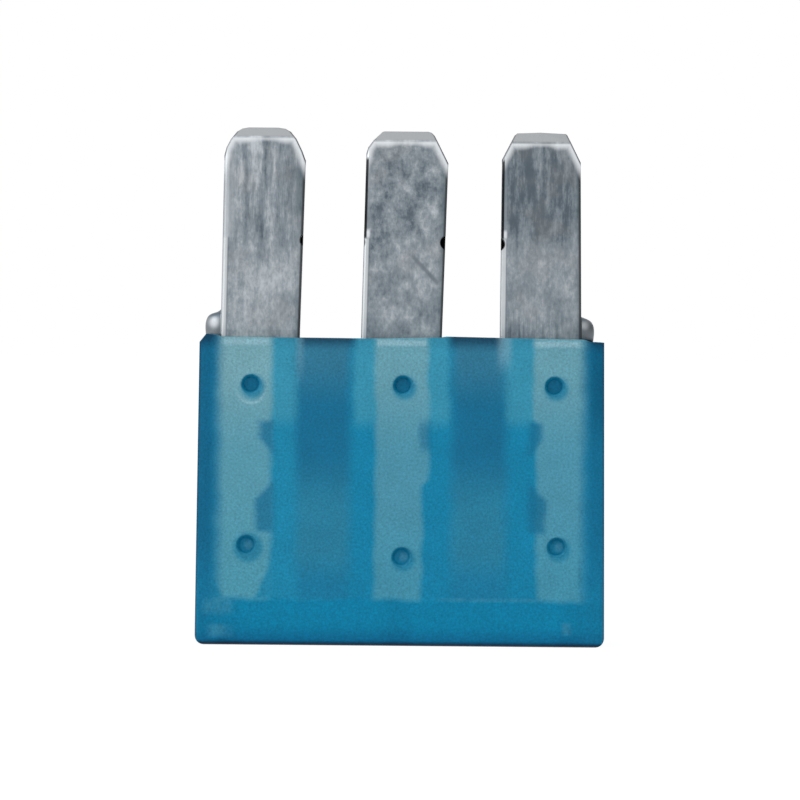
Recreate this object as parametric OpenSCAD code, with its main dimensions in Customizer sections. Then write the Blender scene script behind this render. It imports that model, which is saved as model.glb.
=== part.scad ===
// Micro blade fuse with three blades: one translucent moulded housing, and one stamped fuse
// element that is pushed in through the housing's mouth and held there by staked dimples.
// It stands on its flat head with the blades up. The origin is the middle of the head's end
// face. +X runs across the blades, -Y looks out of the front face, +Z runs along the blades.

/* [Blades] */
// Width of each blade
blade_w = 2.88; // [2.2:0.02:3.6]
// Thickness of the sheet that the blades are stamped from
blade_t = 0.8; // [0.6:0.05:1.2]
// Distance between the middles of neighbouring blades
blade_pitch = 4.95; // [4.6:0.05:6.5]
// Length of blade that stands out of the housing's rim
blade_out = 7.35; // [4:0.05:12]
// Length of full-width blade that is hidden below the rim
blade_in = 2.85; // [2.4:0.05:3.6]

/* [Blade tips] */
// Width that each corner chamfer takes off the tip
tip_corner_w = 0.5; // [0.2:0.05:0.9]
// Height of the corner chamfers
tip_corner_h = 1.0; // [0.6:0.05:2]
// Height of the coined lead-in bevel across the tip
tip_bevel_h = 0.45; // [0.2:0.05:0.55]
// Thickness left at the very end of the tip
tip_end_t = 0.35; // [0.2:0.05:0.5]

/* [Blade edges] */
// How far the stop ears stand out from the outer edges of the outer blades
ear_out = 0.48; // [0.3:0.02:0.6]
// Height of the stop ears above the rim
ear_h = 0.92; // [0.5:0.02:1.5]
// Radius of the stop ears, which are round pegs with domed tops
ear_r = 0.38; // [0.2:0.02:0.48]
// Half length of the nicks left on facing blade edges where the strip's tie bars were cut off
nick_r = 0.22; // [0.1:0.02:0.5]
// Depth that the nicks take off the blade edges
nick_in = 0.15; // [0.05:0.01:0.3]
// Depth that the nicks reach back from the blades' front faces
nick_t = 0.5; // [0.2:0.05:0.55]
// Height of the nicks above the rim
nick_up = 3.4; // [1:0.1:4]

/* [Bars inside the housing] */
// Width of the outer bars, measured in from the outer edge of the outer blades
outer_bar_w = 1.82; // [1.5:0.02:2.1]
// Width of the centre bar at its link roots
centre_bar_w = 1.8; // [1.5:0.05:2.3]
// Height of the links' roots above the housing's head
root_up = 4.6; // [4.2:0.1:4.9]
// Height of the root lands on the outer bars
outer_root_h = 0.7; // [0.5:0.05:0.9]
// Height of the root land on the centre bar
centre_root_h = 1.1; // [0.8:0.05:1.2]
// Depth of the heat notches in the outer bars
outer_notch = 0.38; // [0.2:0.02:0.5]
// Depth of the heat notches in the centre bar
centre_notch = 0.25; // [0.1:0.01:0.4]
// Height of the slopes between a notch and its land
notch_slope = 0.15; // [0.05:0.01:0.25]
// Length of the foot at the lower end of the outer bars
foot_h = 1.5; // [1:0.1:1.8]
// Height of the slope from the lower notch out to the foot
foot_slope = 0.7; // [0.4:0.05:0.9]
// Width cut off the corner of the left foot
foot_cut = 0.3; // [0.1:0.05:0.6]

/* [Fusible links] */
// Width of the link's strip
link_w = 0.45; // [0.3:0.05:0.6]
// Thickness of the link after its metal is skived down
link_t = 0.3; // [0.15:0.05:0.5]
// Distance between the middles of the link's two legs
link_legs = 1.0; // [0.9:0.05:1.1]
// Distance that the link hangs below its roots
link_drop = 3.6; // [2.5:0.1:3.8]
// Radius of the link's upper bends, at the middle of the strip
link_bend = 0.35; // [0.31:0.01:0.4]
// Radius of the two nicks that form the fusing waist
waist_r = 0.11; // [0.04:0.01:0.14]

/* [Housing] */
// Height of the housing from head to rim
housing_h = 10.75; // [10.5:0.05:13]
// Thickness of the solid head
head_h = 1.6; // [1:0.1:1.9]
// Thickness of the side walls at the head
side_wall = 0.73; // [0.6:0.01:1.5]
// Thickness of the front and back walls over the link chambers
chamber_wall = 0.8; // [0.5:0.05:1.2]
// Distance that each side leans in from head to rim
side_draft = 0.1; // [0:0.02:0.2]
// Distance that the front and the back lean in from head to rim
face_draft = 0.03; // [0:0.01:0.1]
// Radius of the head's corners, seen from the front
head_r = 0.35; // [0.2:0.05:0.6]
// Radius of the housing's upright edges and of the head's front and back edges
edge_r = 0.25; // [0.1:0.05:0.4]

/* [Housing inside] */
// Depth of the link chambers from front to back
chamber_t = 2.6; // [2:0.1:3.2]
// Width of the link chambers
chamber_w = 1.86; // [1.75:0.02:2.1]
// Radius of the chambers' corners
chamber_r = 0.2; // [0.1:0.05:0.5]
// Air between each face of a blade and the step beside its guide ribs
step_gap = 0.3; // [0.15:0.05:0.4]
// Height of the lead-in chamfer on the guide ribs at the mouth
lead_in = 0.2; // [0.1:0.05:0.3]

/* [Stakes] */
// Diameter of the stake holes in the bars
stake_hole_d = 1.0; // [0.8:0.05:1.1]
// Diameter of the staking dimples at the housing's face
dimple_d = 0.74; // [0.6:0.02:1.2]
// Diameter of the dimples' floor
dimple_floor_d = 0.62; // [0.4:0.02:0.86]
// Depth of the dimples
dimple_depth = 1.1; // [0.6:0.05:1.3]
// How far each nub reaches into the bar's hole
nub_reach = 0.26; // [0.1:0.02:0.28]
// Distance of the upper outer stakes from the outer blades' outer edges
upper_stake_in = 1.06; // [0.9:0.02:1.1]
// Distance of the lower outer stakes from the outer blades' outer edges
lower_stake_in = 0.94; // [0.8:0.02:1]
// Depth of the upper stakes below the rim
stake_down = 1.61; // [1.2:0.01:1.9]
// Height of the outer lower stakes above the head
outer_stake_up = 1.8; // [1.2:0.05:1.9]
// Height of the centre lower stake above the head
centre_stake_up = 1.42; // [1:0.02:2.2]

/* [Test windows] */
// Width of the test windows in the head
window_w = 0.8; // [0.5:0.05:1.2]
// Thickness of the test windows, from front to back
window_t = 0.6; // [0.4:0.05:1.2]
// Distance from the slot's end to the outer windows' outer edge
window_in = 0.0; // [0:0.05:0.4]

/* [Clearances] */
// Clearance between the blades' outer edges and the slot's ends
side_clear = 0.08; // [0.03:0.01:0.2]
// Clearance between each face of a bar and the guide ribs
rib_clear = 0.04; // [0.02:0.01:0.1]
// Clearance between the bars' lower ends and the cavity's floor
foot_clear = 0.1; // [0.03:0.01:0.3]
// Clearance between the stop ears and the rim
ear_clear = 0.02; // [0.01:0.01:0.1]
// Clearance all round between a nub and its hole
nub_clear = 0.1; // [0.04:0.01:0.15]

/* [Hidden] */
$fn = 48;
housing_blue = [0.09, 0.49, 0.65, 0.8];
zinc_grey = [0.66, 0.68, 0.70];
// Cuts run this far past the faces that they open
past = 0.5;
// Height of the thin slices that the tips' bevels are drawn between
slice = 0.01;

// Blades and bars
outer_edge = blade_pitch + blade_w / 2;
outer_land = outer_edge - outer_bar_w;
centre_land = centre_bar_w / 2;
tip_z = housing_h + blade_out;
shoulder_z = housing_h - blade_in;
bar_z = head_h + foot_clear;
root_z = head_h + root_up;
foot_z = head_h + foot_h;

// Housing
slot_end = outer_edge + side_clear;
rib_face = blade_t / 2 + rib_clear;
step_face = blade_t / 2 + step_gap;
housing_w = 2 * (slot_end + side_wall);
housing_t = chamber_t + 2 * chamber_wall;
chamber_x = (outer_land + centre_land) / 2;

// Stakes, each as its place across the fuse and its height
upper_stake_x = outer_edge - upper_stake_in;
lower_stake_x = outer_edge - lower_stake_in;
stakes = [
    for (x = [-upper_stake_x, 0, upper_stake_x]) [x, housing_h - stake_down],
    for (x = [-lower_stake_x, lower_stake_x]) [x, head_h + outer_stake_up],
    [0, head_h + centre_stake_up]
];
nub_d = stake_hole_d - 2 * nub_clear;

// Test windows
window_x = slot_end - window_in - window_w / 2;

// A flat outline drawn with x across and y up stands up in the fuse's own plane
module upright() {
    rotate([90, 0, 0])
        children();
}

// A round pin through the fuse from front to back, at [x, z]
module pin_at(place, d, length) {
    translate([place[0], 0, place[1]])
        rotate([90, 0, 0])
            cylinder(d = d, h = length, center = true);
}

// The outline of a block of height h that stands on its rounded end and leans in by lean
module block_outline(w, h, r, lean) {
    tilt = atan(lean / h);
    corner = w / 2 - r * tan(tilt) - r / cos(tilt);
    side = [corner + r * cos(tilt), r + r * sin(tilt)];
    polygon([
        [-corner, 0], [corner, 0], side, [w / 2 - lean, h],
        [lean - w / 2, h], [-side[0], side[1]]
    ]);
    for (x = [-corner, corner])
        translate([x, r])
            circle(r);
}

// A rectangle with round corners, drawn about its middle
module round_rectangle(w, h, r) {
    square([w - 2 * r, h], center = true);
    square([w, h - 2 * r], center = true);
    for (x = [-1, 1], y = [-1, 1])
        translate([x * (w / 2 - r), y * (h / 2 - r)])
            circle(r);
}

// The block's plan where only its corners matter: the arms reach past the drafted sides
module corner_plan() {
    square([housing_w - 2 * edge_r, housing_t + 2 * past], center = true);
    square([housing_w + 2 * past, housing_t - 2 * edge_r], center = true);
    for (x = [-1, 1], y = [-1, 1])
        translate([x * (housing_w / 2 - edge_r), y * (housing_t / 2 - edge_r)])
            circle(edge_r);
}

// The housing without its cavity
module housing_block() {
    intersection() {
        upright()
            linear_extrude(housing_t + 2 * past, center = true)
                block_outline(housing_w, housing_h, head_r, side_draft);
        rotate([0, 0, 90])
            upright()
                linear_extrude(housing_w + 2 * past, center = true)
                    block_outline(housing_t, housing_h, edge_r, face_draft);
        translate([0, 0, -past])
            linear_extrude(housing_h + 2 * past)
                corner_plan();
    }
}

// The slot between the guide ribs, its wider steps, and the link chambers, seen from above
module cavity_plan() {
    square([2 * slot_end, 2 * rib_face], center = true);
    for (side = [-1, 1]) {
        translate([side * chamber_x, 0])
            square([outer_land - centre_land, 2 * step_face], center = true);
        translate([side * chamber_x, 0])
            round_rectangle(chamber_w, chamber_t, chamber_r);
    }
}

// The sloped lead-in that opens the slot at the mouth
module mouth_lead_in() {
    rotate([0, 0, 90])
        upright()
            linear_extrude(2 * slot_end, center = true)
                polygon([
                    [-rib_face, housing_h - lead_in], [rib_face, housing_h - lead_in],
                    [rib_face + lead_in + past, housing_h + past],
                    [-rib_face - lead_in - past, housing_h + past]
                ]);
}

// One tapered staking dimple, sunk from the front face
module dimple(place) {
    flare = past * (dimple_d - dimple_floor_d) / dimple_depth;
    translate([place[0], -housing_t / 2 - past, place[1]])
        rotate([-90, 0, 0])
            cylinder(d1 = dimple_d + flare, d2 = dimple_floor_d, h = past + dimple_depth);
}

// The two nubs that a stake pushes into a bar's hole, one from each rib
module nubs(place) {
    for (side = [-1, 1])
        translate([0, side * (blade_t / 2 - nub_reach + past / 2), 0])
            pin_at(place, nub_d, past);
}

// One translucent moulding: head, walls, guide ribs, chambers, dimples and test windows
module housing() {
    color(housing_blue) {
        difference() {
            housing_block();
            translate([0, 0, head_h])
                linear_extrude(housing_h)
                    cavity_plan();
            mouth_lead_in();
            for (place = stakes, turn = [0, 1])
                mirror([0, turn, 0])
                    dimple(place);
            for (x = [-window_x, 0, window_x])
                translate([x, 0, head_h / 2])
                    cube([window_w, window_t, head_h + 2 * past], center = true);
        }
        for (place = stakes)
            nubs(place);
    }
}

// A box in the element's plane, from [x0, z0] to [x1, z1]
module strip(x0, z0, x1, z1, t) {
    translate([x0, -t / 2, z0])
        cube([x1 - x0, t, z1 - z0]);
}

// One blade about x = 0, from its hidden shoulder to its coined tip
module blade() {
    tip_w = blade_w - 2 * tip_corner_w;
    strip(-blade_w / 2, shoulder_z, blade_w / 2, tip_z - tip_corner_h, blade_t);
    hull() {
        strip(-blade_w / 2, tip_z - tip_corner_h - slice,
              blade_w / 2, tip_z - tip_corner_h, blade_t);
        strip(-tip_w / 2, tip_z - tip_bevel_h - slice,
              tip_w / 2, tip_z - tip_bevel_h, blade_t);
        strip(-tip_w / 2, tip_z - slice, tip_w / 2, tip_z, tip_end_t);
    }
}

// The stop ear on the right outer blade: a peg with a domed top, which rests on the rim
module ear() {
    translate([outer_edge + ear_out - ear_r, 0, housing_h + ear_clear])
        rotate_extrude()
            intersection() {
                square([ear_r, ear_h]);
                union() {
                    square([ear_r, ear_h - ear_r]);
                    translate([0, ear_h - ear_r])
                        circle(ear_r);
                }
            }
}

// The bites that two cut-off tie bars leave in the front of facing blade edges, at right
module nicks() {
    bite_r = (nick_r * nick_r + nick_in * nick_in) / (2 * nick_in);
    inset = bite_r - nick_in;
    for (x = [blade_w / 2 + inset, blade_pitch - blade_w / 2 - inset])
        translate([x, nick_t - blade_t / 2, housing_h + nick_up])
            rotate([90, 0, 0])
                cylinder(r = bite_r, h = nick_t + past);
}

// The right outer bar: land for the link between two heat notches, and a foot that may be cut
module outer_bar(cut) {
    land = outer_land;
    notch = outer_land + outer_notch;
    root_top = root_z + outer_root_h / 2;
    root_low = root_z - outer_root_h / 2;
    upright()
        linear_extrude(blade_t, center = true)
            polygon([
                [outer_edge, bar_z], [outer_edge, shoulder_z], [notch, shoulder_z],
                [notch, root_top + notch_slope], [land, root_top],
                [land, root_low], [notch, root_low - notch_slope],
                [notch, foot_z + foot_slope], [land, foot_z],
                [land, (foot_z + bar_z) / 2], [land + cut, (foot_z + bar_z) / 2 - cut],
                [land + cut, bar_z]
            ]);
}

// The centre bar: straight on its left, notched above and below the link's land on its right
module centre_bar() {
    notch = centre_land - centre_notch;
    root_top = root_z + centre_root_h / 2;
    root_low = root_z - centre_root_h / 2;
    upright()
        linear_extrude(blade_t, center = true)
            polygon([
                [-centre_land, bar_z], [notch, bar_z], [notch, root_low - notch_slope],
                [centre_land, root_low], [centre_land, root_top],
                [notch, root_top + notch_slope], [notch, shoulder_z],
                [-centre_land, shoulder_z]
            ]);
}

// Part of a flat ring with centre line radius r, from angle a0 through sweep degrees
module bend(place, r, a0, sweep) {
    translate([place[0], 0, place[1]])
        rotate([90, 0, 0])
            rotate([0, 0, a0])
                rotate_extrude(angle = sweep)
                    translate([r - link_w / 2, -link_t / 2])
                        square([link_w, link_t]);
}

// One fusible link about x = 0: in from both lands, down two legs and round below them
module link() {
    reach = (outer_land - centre_land) / 2;
    leg = link_legs / 2;
    lead_x = leg + link_bend;
    leg_top = root_z - link_bend;
    leg_low = root_z - link_drop + leg;
    difference() {
        union() {
            for (turn = [0, 1])
                mirror([turn, 0, 0]) {
                    strip(lead_x, root_z - link_w / 2, reach + link_w, root_z + link_w / 2,
                          link_t);
                    bend([lead_x, leg_top], link_bend, 90, 90);
                    strip(leg - link_w / 2, leg_low, leg + link_w / 2, leg_top, link_t);
                }
            bend([0, leg_low], leg, 180, 180);
        }
        for (x = [leg - link_w / 2, leg + link_w / 2])
            pin_at([x, (leg_top + leg_low) / 2], 2 * waist_r, blade_t);
    }
}

// One stamping: three blades, their bars, two links and two stop ears
module fuse_element() {
    color(zinc_grey)
        difference() {
            union() {
                for (x = [-blade_pitch, 0, blade_pitch])
                    translate([x, 0, 0])
                        blade();
                for (side = [-1, 1])
                    translate([side * chamber_x, 0, 0])
                        link();
                ear();
                outer_bar(0);
                mirror([1, 0, 0]) {
                    ear();
                    outer_bar(foot_cut);
                }
                centre_bar();
            }
            for (place = stakes)
                pin_at(place, stake_hole_d, blade_t + 2 * past);
            for (turn = [0, 1])
                mirror([turn, 0, 0])
                    nicks();
        }
}

housing();
fuse_element();
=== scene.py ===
"""Looks of a micro blade fuse: translucent blue housing, bright stamped blades, white studio."""
import math
from collections import namedtuple

import bmesh
import bpy
from mathutils import Matrix, Vector


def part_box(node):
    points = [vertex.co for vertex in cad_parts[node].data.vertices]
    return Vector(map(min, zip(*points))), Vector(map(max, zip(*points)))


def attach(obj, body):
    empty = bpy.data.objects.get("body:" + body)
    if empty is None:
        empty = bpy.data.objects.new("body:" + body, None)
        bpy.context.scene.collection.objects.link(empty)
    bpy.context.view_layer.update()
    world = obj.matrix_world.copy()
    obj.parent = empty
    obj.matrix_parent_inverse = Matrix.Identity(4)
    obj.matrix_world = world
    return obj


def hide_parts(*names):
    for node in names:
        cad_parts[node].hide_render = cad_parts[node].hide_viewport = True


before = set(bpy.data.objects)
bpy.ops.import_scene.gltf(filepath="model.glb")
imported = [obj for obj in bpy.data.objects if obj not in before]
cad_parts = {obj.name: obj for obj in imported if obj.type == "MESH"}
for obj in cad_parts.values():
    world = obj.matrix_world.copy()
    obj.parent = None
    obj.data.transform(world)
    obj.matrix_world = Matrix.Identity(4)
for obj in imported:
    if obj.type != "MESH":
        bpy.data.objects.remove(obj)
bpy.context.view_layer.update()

MM = 0.001

# Sizes of the real fuse, in millimetres
RIM_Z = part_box("housing")[1].z / MM
TIP_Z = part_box("fuse_element")[1].z / MM
FACE_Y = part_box("housing")[1].y / MM
HALF_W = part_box("housing")[1].x / MM
PITCH = 4.95
BLADE_W = 2.88
BLADE_T = 0.8
OUTER_EDGE = PITCH + BLADE_W / 2
OUTER_LAND = OUTER_EDGE - 1.82
CENTRE_LAND = 0.9
SLOT_END = OUTER_EDGE + 0.08
SHOULDER_Z = RIM_Z - 2.85
HEAD_Z = 1.6
CHAMBER_X = (OUTER_LAND + CENTRE_LAND) / 2
CHAMBER_HALF = 0.93
UPPER_STAKE_X = OUTER_EDGE - 1.06
LOWER_STAKE_X = OUTER_EDGE - 0.94
CAD_STAKES = [
    (-UPPER_STAKE_X, RIM_Z - 1.61), (0.0, RIM_Z - 1.61), (UPPER_STAKE_X, RIM_Z - 1.61),
    (-LOWER_STAKE_X, HEAD_Z + 1.8), (0.0, HEAD_Z + 1.42), (LOWER_STAKE_X, HEAD_Z + 1.8),
]

# The dimples of this fuse: their steps from the CAD's places, their depth, their floor's share
# of the CAD's width, and the reach about a place within which all vertices are a dimple's
STAKE_STEP_X = 0.05
UPPER_STAKE_STEP_Z = 0.02
LOWER_STAKE_STEP_Z = 0.11
STAKES = [(x + STAKE_STEP_X, z + (UPPER_STAKE_STEP_Z if z > RIM_Z / 2 else LOWER_STAKE_STEP_Z))
          for x, z in CAD_STAKES]
CAD_DIMPLE_DEPTH = 1.1
DIMPLE_DEPTH = 0.24
DIMPLE_TAPER = 0.78
DIMPLE_REACH = 0.45

# The blades: the height of their tie bars' scars, how far they reach down behind the rim, the
# height of the coined bevel, half the tip's thickness, a scar's radius, and the place and
# length of the scars along y
NICK_Z = RIM_Z + 3.45
BLADE_FOOT = 0.6
BEVEL_H = 0.33
TIP_HALF_T = 0.175
SCAR_R = 0.236
SCAR_Y = -0.25
SCAR_LENGTH = 0.7
SCAR_POINTS = 40

# Rounding: the bevels' widths, and the shares that the blades' edges take of theirs
RIM_ROUNDING = 0.04
BLADE_ROUNDING = 0.13
ROLLED_SHARE = 1.0
SHEARED_SHARE = 0.3
TIP_SHARE = 0.4
ROUNDED_RIM_X = SLOT_END + 0.3
ROUNDED_RIM_Y = 1.9

# The stop ears: half their thickness and the points of each ring
EAR_HALF_T = 0.38
EAR_POINTS = 48

# Mesh work: how near two heights count as one, the greatest sum of the y of two ends that lie on
# opposite faces of a blade, how near two points are one, the length of an edge too short to
# keep, and the angles below which faces are one flat face or meet softly
TOUCHING = 0.01
ACROSS = 0.05
SAME_POINT = 0.002
SLIVER = 0.004
FLAT_ANGLE = math.radians(0.5)
SHARP_ANGLE = math.radians(30)

# How far the rim of this worn fuse stands above its drawn height, at places from left to right
RIM_WEAR = (
    (-7.0, -0.11), (-6.87, 0.17), (-6.5, 0.13), (-6.35, 0.07), (-3.5, 0.05), (-1.4, 0.04),
    (1.41, 0.1), (1.6, 0.13), (3.44, 0.1), (6.4, 0.07), (6.65, -0.01), (7.2, -0.03),
)

# Each blade as this fuse has it: x of its left and of its right edge, at the rim and at the tip,
# the tip's height, the outline of its corners as steps in from the edge and down from the tip,
# and the scars of its tie bars as side, depth and height
Blade = namedtuple("Blade", "left right tip left_corner right_corner scars")
BLADES = (
    Blade((-6.42, -6.324), (-3.624, -3.432), 18.23,
          ((0.0, 1.0), (0.07, 0.72), (0.21, 0.44), (0.43, 0.155), (0.62, 0.04), (0.85, 0.0)),
          ((0.0, 1.16), (0.14, 0.81), (0.35, 0.4), (0.55, 0.155), (0.75, 0.04), (1.0, 0.0)),
          ((1, 0.1, NICK_Z + 0.05),)),
    Blade((-1.452, -1.298), (1.412, 1.62), 18.13,
          ((0.0, 0.8), (0.06, 0.58), (0.24, BEVEL_H), (0.55, 0.02), (0.62, 0.0)),
          ((0.0, 1.12), (0.51, 0.16), (0.62, 0.04), (0.74, 0.0)),
          ((-1, 0.05, NICK_Z), (1, 0.175, NICK_Z))),
    Blade((3.469, 3.495), (6.349, 6.257), 18.1,
          ((0.0, 0.93), (0.43, 0.085), (0.53, 0.0), (1.35, -0.03)),
          ((0.0, 1.03), (0.47, 0.05), (0.52, 0.01)),
          ((-1, 0.12, NICK_Z - 0.03),)),
)

# The stop ears' outlines, as steps out from the blade's edge and up from the rim
LEFT_EAR = ((0.52, 0.06), (0.53, 0.07), (0.55, 0.28), (0.56, 0.45), (0.54, 0.63), (0.48, 0.78),
            (0.37, 0.87), (0.22, 0.91), (0.08, 0.96), (0.03, 1.03))
RIGHT_EAR = ((0.42, -0.03), (0.43, -0.02), (0.46, 0.18), (0.47, 0.36), (0.46, 0.52), (0.4, 0.67),
             (0.28, 0.77), (0.14, 0.82), (0.03, 0.86), (0.02, 0.87))

# The photograph's frame, in its own 800 by 800 pixels
PHOTO_SIZE = 800
PIXELS_PER_MM = 28.5
FUSE_MIDDLE_X_PX = 401.4
HEAD_END_Y_PX = 646.5

# The camera, in millimetres and degrees
CAMERA_DISTANCE = 200.0
CAMERA_ELEVATION = 0.8
CAMERA_ROLL = 0.5
SENSOR_WIDTH = 36.0

# The studio: the floor's size in metres, its grey, and how bright it is and how much it glows as
# background; the level and slope of the light seen in gloss; the lamp, in metres and watts
WHITE = (1.0, 1.0, 1.0, 1.0)
FLOOR_SIZE = 3.0
FLOOR_GREY = 0.8
FLOOR_GLOW = 1.06
FLOOR_GLOW_SHARE = 0.88
GLOSS_LEVEL = 0.85
GLOSS_SLOPE_X = -0.55
GLOSS_SLOPE_Z = 0.35
LAMP_PLACE = Vector((-0.12, -0.16, 0.14))
LAMP_TARGET = Vector((0.0, 0.0, 0.009))
LAMP_SIZE = 0.25
LAMP_ENERGY = 0.2


def linear(r, g, b):
    """An sRGB colour of 0 to 255 a channel, as the linear colour that Blender's sockets take."""
    def channel(v):
        v /= 255
        return v / 12.92 if v <= 0.04045 else ((v + 0.055) / 1.055) ** 2.4
    return (channel(r), channel(g), channel(b), 1.0)


class Graph:
    """A node tree with short calls that add a node and return its output socket."""

    def __init__(self, tree):
        self.nodes = tree.nodes
        self.links = tree.links
        self.nodes.clear()

    def add(self, kind, inputs=None, **settings):
        node = self.nodes.new(kind)
        for name, value in settings.items():
            setattr(node, name, value)
        for name, value in (inputs or {}).items():
            self.feed(node.inputs[name], value)
        return node

    def feed(self, socket, value):
        if isinstance(value, bpy.types.NodeSocket):
            self.links.new(value, socket)
        else:
            socket.default_value = value

    def math(self, operation, a, b=0.0, clamp=False):
        node = self.add("ShaderNodeMath", {0: a, 1: b}, operation=operation, use_clamp=clamp)
        return node.outputs[0]

    def rise(self, value, low, high):
        """0 at low and 1 at high, with a smooth step between; low may be the greater."""
        node = self.add("ShaderNodeMapRange", {"Value": value, "From Min": low, "From Max": high},
                        interpolation_type="SMOOTHSTEP")
        return node.outputs["Result"]

    def level(self, value, low, high, at_low, at_high):
        """at_low where value is low or less and at_high where it is high or more."""
        node = self.add("ShaderNodeMapRange", {"Value": value, "From Min": low, "From Max": high,
                                               "To Min": at_low, "To Max": at_high})
        return node.outputs["Result"]

    def within(self, value, low, high, soft):
        """1 between low and high, passing over to 0 about each within the width of soft."""
        up = self.rise(value, low - soft / 2, low + soft / 2)
        down = self.rise(value, high - soft / 2, high + soft / 2)
        return self.math("SUBTRACT", up, down, clamp=True)

    def product(self, *values):
        result = values[0]
        for value in values[1:]:
            result = self.math("MULTIPLY", result, value)
        return result

    def union(self, *values):
        result = values[0]
        for value in values[1:]:
            result = self.math("MAXIMUM", result, value)
        return result

    def outside(self, value):
        return self.math("SUBTRACT", 1.0, value, clamp=True)

    def mix(self, factor, a, b, blend="MIX"):
        node = self.add("ShaderNodeMix", data_type="RGBA", blend_type=blend)
        for index, value in ((0, factor), (6, a), (7, b)):
            self.feed(node.inputs[index], value)
        return node.outputs[2]

    def scale_colour(self, colour, factor):
        node = self.add("ShaderNodeVectorMath", {0: colour, "Scale": factor}, operation="SCALE")
        return node.outputs[0]

    def disc(self, x, z, place, radius, soft):
        """1 inside a disc about place in the plane of x and z, seen from the front or back."""
        dx = self.math("SUBTRACT", x, place[0])
        dz = self.math("SUBTRACT", z, place[1])
        both = self.math("ADD", self.product(dx, dx), self.product(dz, dz))
        distance = self.math("SQRT", both)
        return self.rise(distance, radius + soft / 2, radius - soft / 2)

    def noise(self, vector, scale, detail=3.0, rough=0.5):
        node = self.add("ShaderNodeTexNoise", {"Vector": vector, "Scale": scale,
                                               "Detail": detail, "Roughness": rough})
        return node.outputs["Fac"]

    def stretch(self, vector, factors, offset=(0.0, 0.0, 0.0)):
        node = self.add("ShaderNodeMapping", {"Vector": vector, "Scale": factors,
                                              "Location": offset})
        return node.outputs["Vector"]


def new_material(name):
    """(material, its graph, the object's own coordinates in millimetres, and their x, y and z)."""
    material = bpy.data.materials.new(name)
    material.use_nodes = True
    graph = Graph(material.node_tree)
    coordinates = graph.add("ShaderNodeTexCoord").outputs["Object"]
    scaled = graph.add("ShaderNodeVectorMath", {0: coordinates, 1: (1 / MM,) * 3},
                       operation="MULTIPLY").outputs[0]
    split = graph.add("ShaderNodeSeparateXYZ", {0: scaled})
    return material, graph, scaled, split.outputs


def finish_material(graph, shader):
    graph.add("ShaderNodeOutputMaterial", {"Surface": shader.outputs[0]})


# The housing's colours, as they show from the front
BAND_LOW = linear(16, 137, 177)
BAND_LOW_LEFT = linear(27, 142, 180)
BAND_OVER_METAL = linear(58, 154, 184)
STRIP_TOP = linear(110, 169, 185)
STRIP_MID = linear(82, 156, 180)
STRIP_LOW = linear(73, 156, 182)
STRIP_LEFT_GAIN = (1.3, 1.09, 1.03, 1.0)
CHAMBER_TOP = linear(51, 126, 157)
CHAMBER_MID = linear(18, 115, 154)
CHAMBER_LOW = linear(42, 135, 168)
CHAMBER_FOOT = linear(24, 131, 170)
WALL_LEFT = linear(7, 103, 141)
WALL_RIGHT = linear(9, 111, 149)
WALL_RIGHT_TOP = linear(0, 94, 130)
HEAD_BLUE = linear(2, 131, 171)
HEAD_LOW = linear(0, 106, 150)
NOTCH_BLUE = linear(18, 118, 156)
HALO_BLUE = linear(34, 134, 168)
# Painted shade on the upper left of the dimples' walls
SHADED_DIMPLE_WALL = linear(14, 128, 166)
DIMPLE_LIT = linear(60, 152, 186)
DIMPLE_FLOOR = linear(4, 114, 152)
LOW_DIMPLE_FLOOR = linear(12, 130, 168)
LOW_DIMPLE_GLEAM = linear(70, 148, 178)
EDGE_NAVY = linear(4, 48, 76)
RIM_LIGHT = linear(150, 192, 206)
PALE_MARK = linear(64, 146, 176)

# Where the moulding's tones pass over into one another, as heights in millimetres, the end
# without the tone first
CAVITY_STARTS = (HEAD_Z - 0.1, HEAD_Z + 0.16)
SHOULDERS_START = (SHOULDER_Z - 0.45, SHOULDER_Z + 0.3)
HEAD_BRIGHTENS = (0.05, 0.8)
HEAD_EDGE_SHADE = (0.2, 0.05)
LINKS_SHOW = (7.0, 4.6)
CHAMBER_OPENS = (8.2, 10.2)
CHAMBER_ENDS = (3.4, 2.0)
STRIP_BRIGHTENS = (1.8, 6.0)
STRIP_OPENS = (6.4, 10.2)
WALL_DARKENS = (6.5, 9.0)
WALL_SHOWS = (0.6, 4.0)
FOOT_IS_CUT = (3.4, 3.1)
RIGHT_STRIP_WIDENS = (7.8, 8.1)
CENTRE_STRIP_WIDENS = (5.6, 5.9)
MOUTH_DARKENS = (RIM_Z - 0.45, RIM_Z + 0.1)

# The bars' heat notches: heights of the lower and upper end of each
UPPER_NOTCH = (6.7, 7.9)
LOWER_NOTCH = (4.0, 5.9)
CENTRE_NOTCH = (6.85, SHOULDER_Z)

# Pale marks in the head, as x from and to, softness, z from and to, softness
PALE_MARKS = (
    (-6.9, -5.9, 0.4, 1.1, 1.65, 0.3),
    (-6.7, -5.9, 0.4, 0.3, 0.72, 0.2),
    (5.72, 6.02, 0.2, 0.45, 0.85, 0.2),
)
WIDE_HALO_STAKE = 3
SIDE_DRAUGHT = 0.1

# A point of the housing: its coordinates, the size of x, 1 in the left half, and x, its size and
# z once more as the moulding's soft inner edges waver
HousingPoint = namedtuple("HousingPoint", "mm x y z ax left wx wax wz")


def housing_point(g, mm, xyz):
    x, y, z = xyz
    waver = g.level(g.noise(mm, 1.2, 1.5, 0.5), 0.3, 0.7, -0.05, 0.05)
    ax = g.math("ABSOLUTE", x)
    left = g.rise(x, 0.5, -0.5)
    return HousingPoint(mm, x, y, z, ax, left, g.math("ADD", x, waver),
                        g.math("ADD", ax, waver), g.math("ADD", z, waver))


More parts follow.
